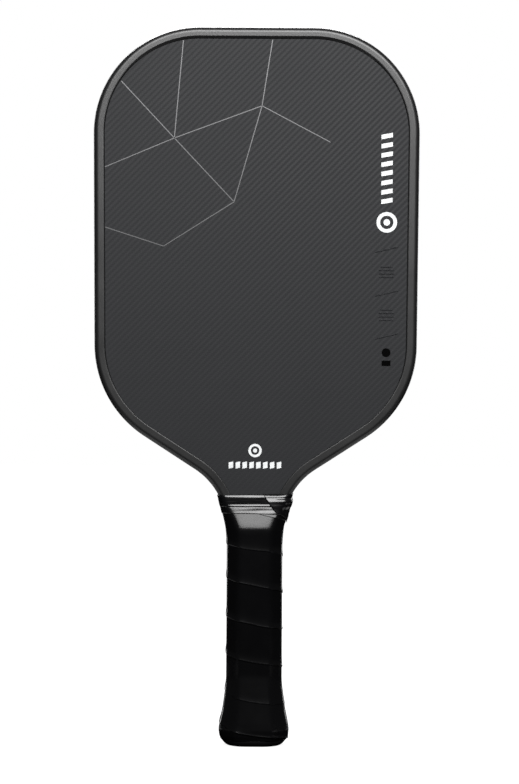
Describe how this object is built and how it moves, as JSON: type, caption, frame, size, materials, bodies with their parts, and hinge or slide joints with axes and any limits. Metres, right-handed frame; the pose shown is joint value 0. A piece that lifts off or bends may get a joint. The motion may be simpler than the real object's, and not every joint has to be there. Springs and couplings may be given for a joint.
{
  "type": "pickleball paddle",
  "caption": "Elongated pickleball paddle: a solid carbon-faced head in an edge guard, on a wrapped octagonal handle with a flared butt.",
  "frame": {"origin": "centre of the butt end, at the middle of the paddle's width and thickness", "axes": "+Z runs along the handle from the butt to the crown of the head, X goes across the face, and the front face looks along -Y"},
  "size_m": [0.1904, 0.0364, 0.4191],
  "materials": {
    "core": "pale polypropylene honeycomb",
    "face": "matte dark grey carbon twill with diagonal ribs",
    "guard": "satin black flexible edge guard with a fine grain",
    "pallet": "rigid foam",
    "cap": "black moulded plastic",
    "badge": "blank glossy black disc",
    "staple": "plain steel wire",
    "grip": "black cushioned polyurethane wrap, slightly tacky",
    "tape": "glossy black finishing tape"
  },
  "bodies": {
    "root": {"honeycomb_core": "core", "front_face": "face", "back_face": "face", "edge_guard": "guard", "front_pallet": "pallet", "back_pallet": "pallet", "butt_cap": "cap", "butt_badge": "badge", "cap_staple_front": "staple", "cap_staple_back": "staple", "grip_staple": "staple", "base_grip": "grip", "finishing_tape": "tape"}
  },
  "joints": []
}
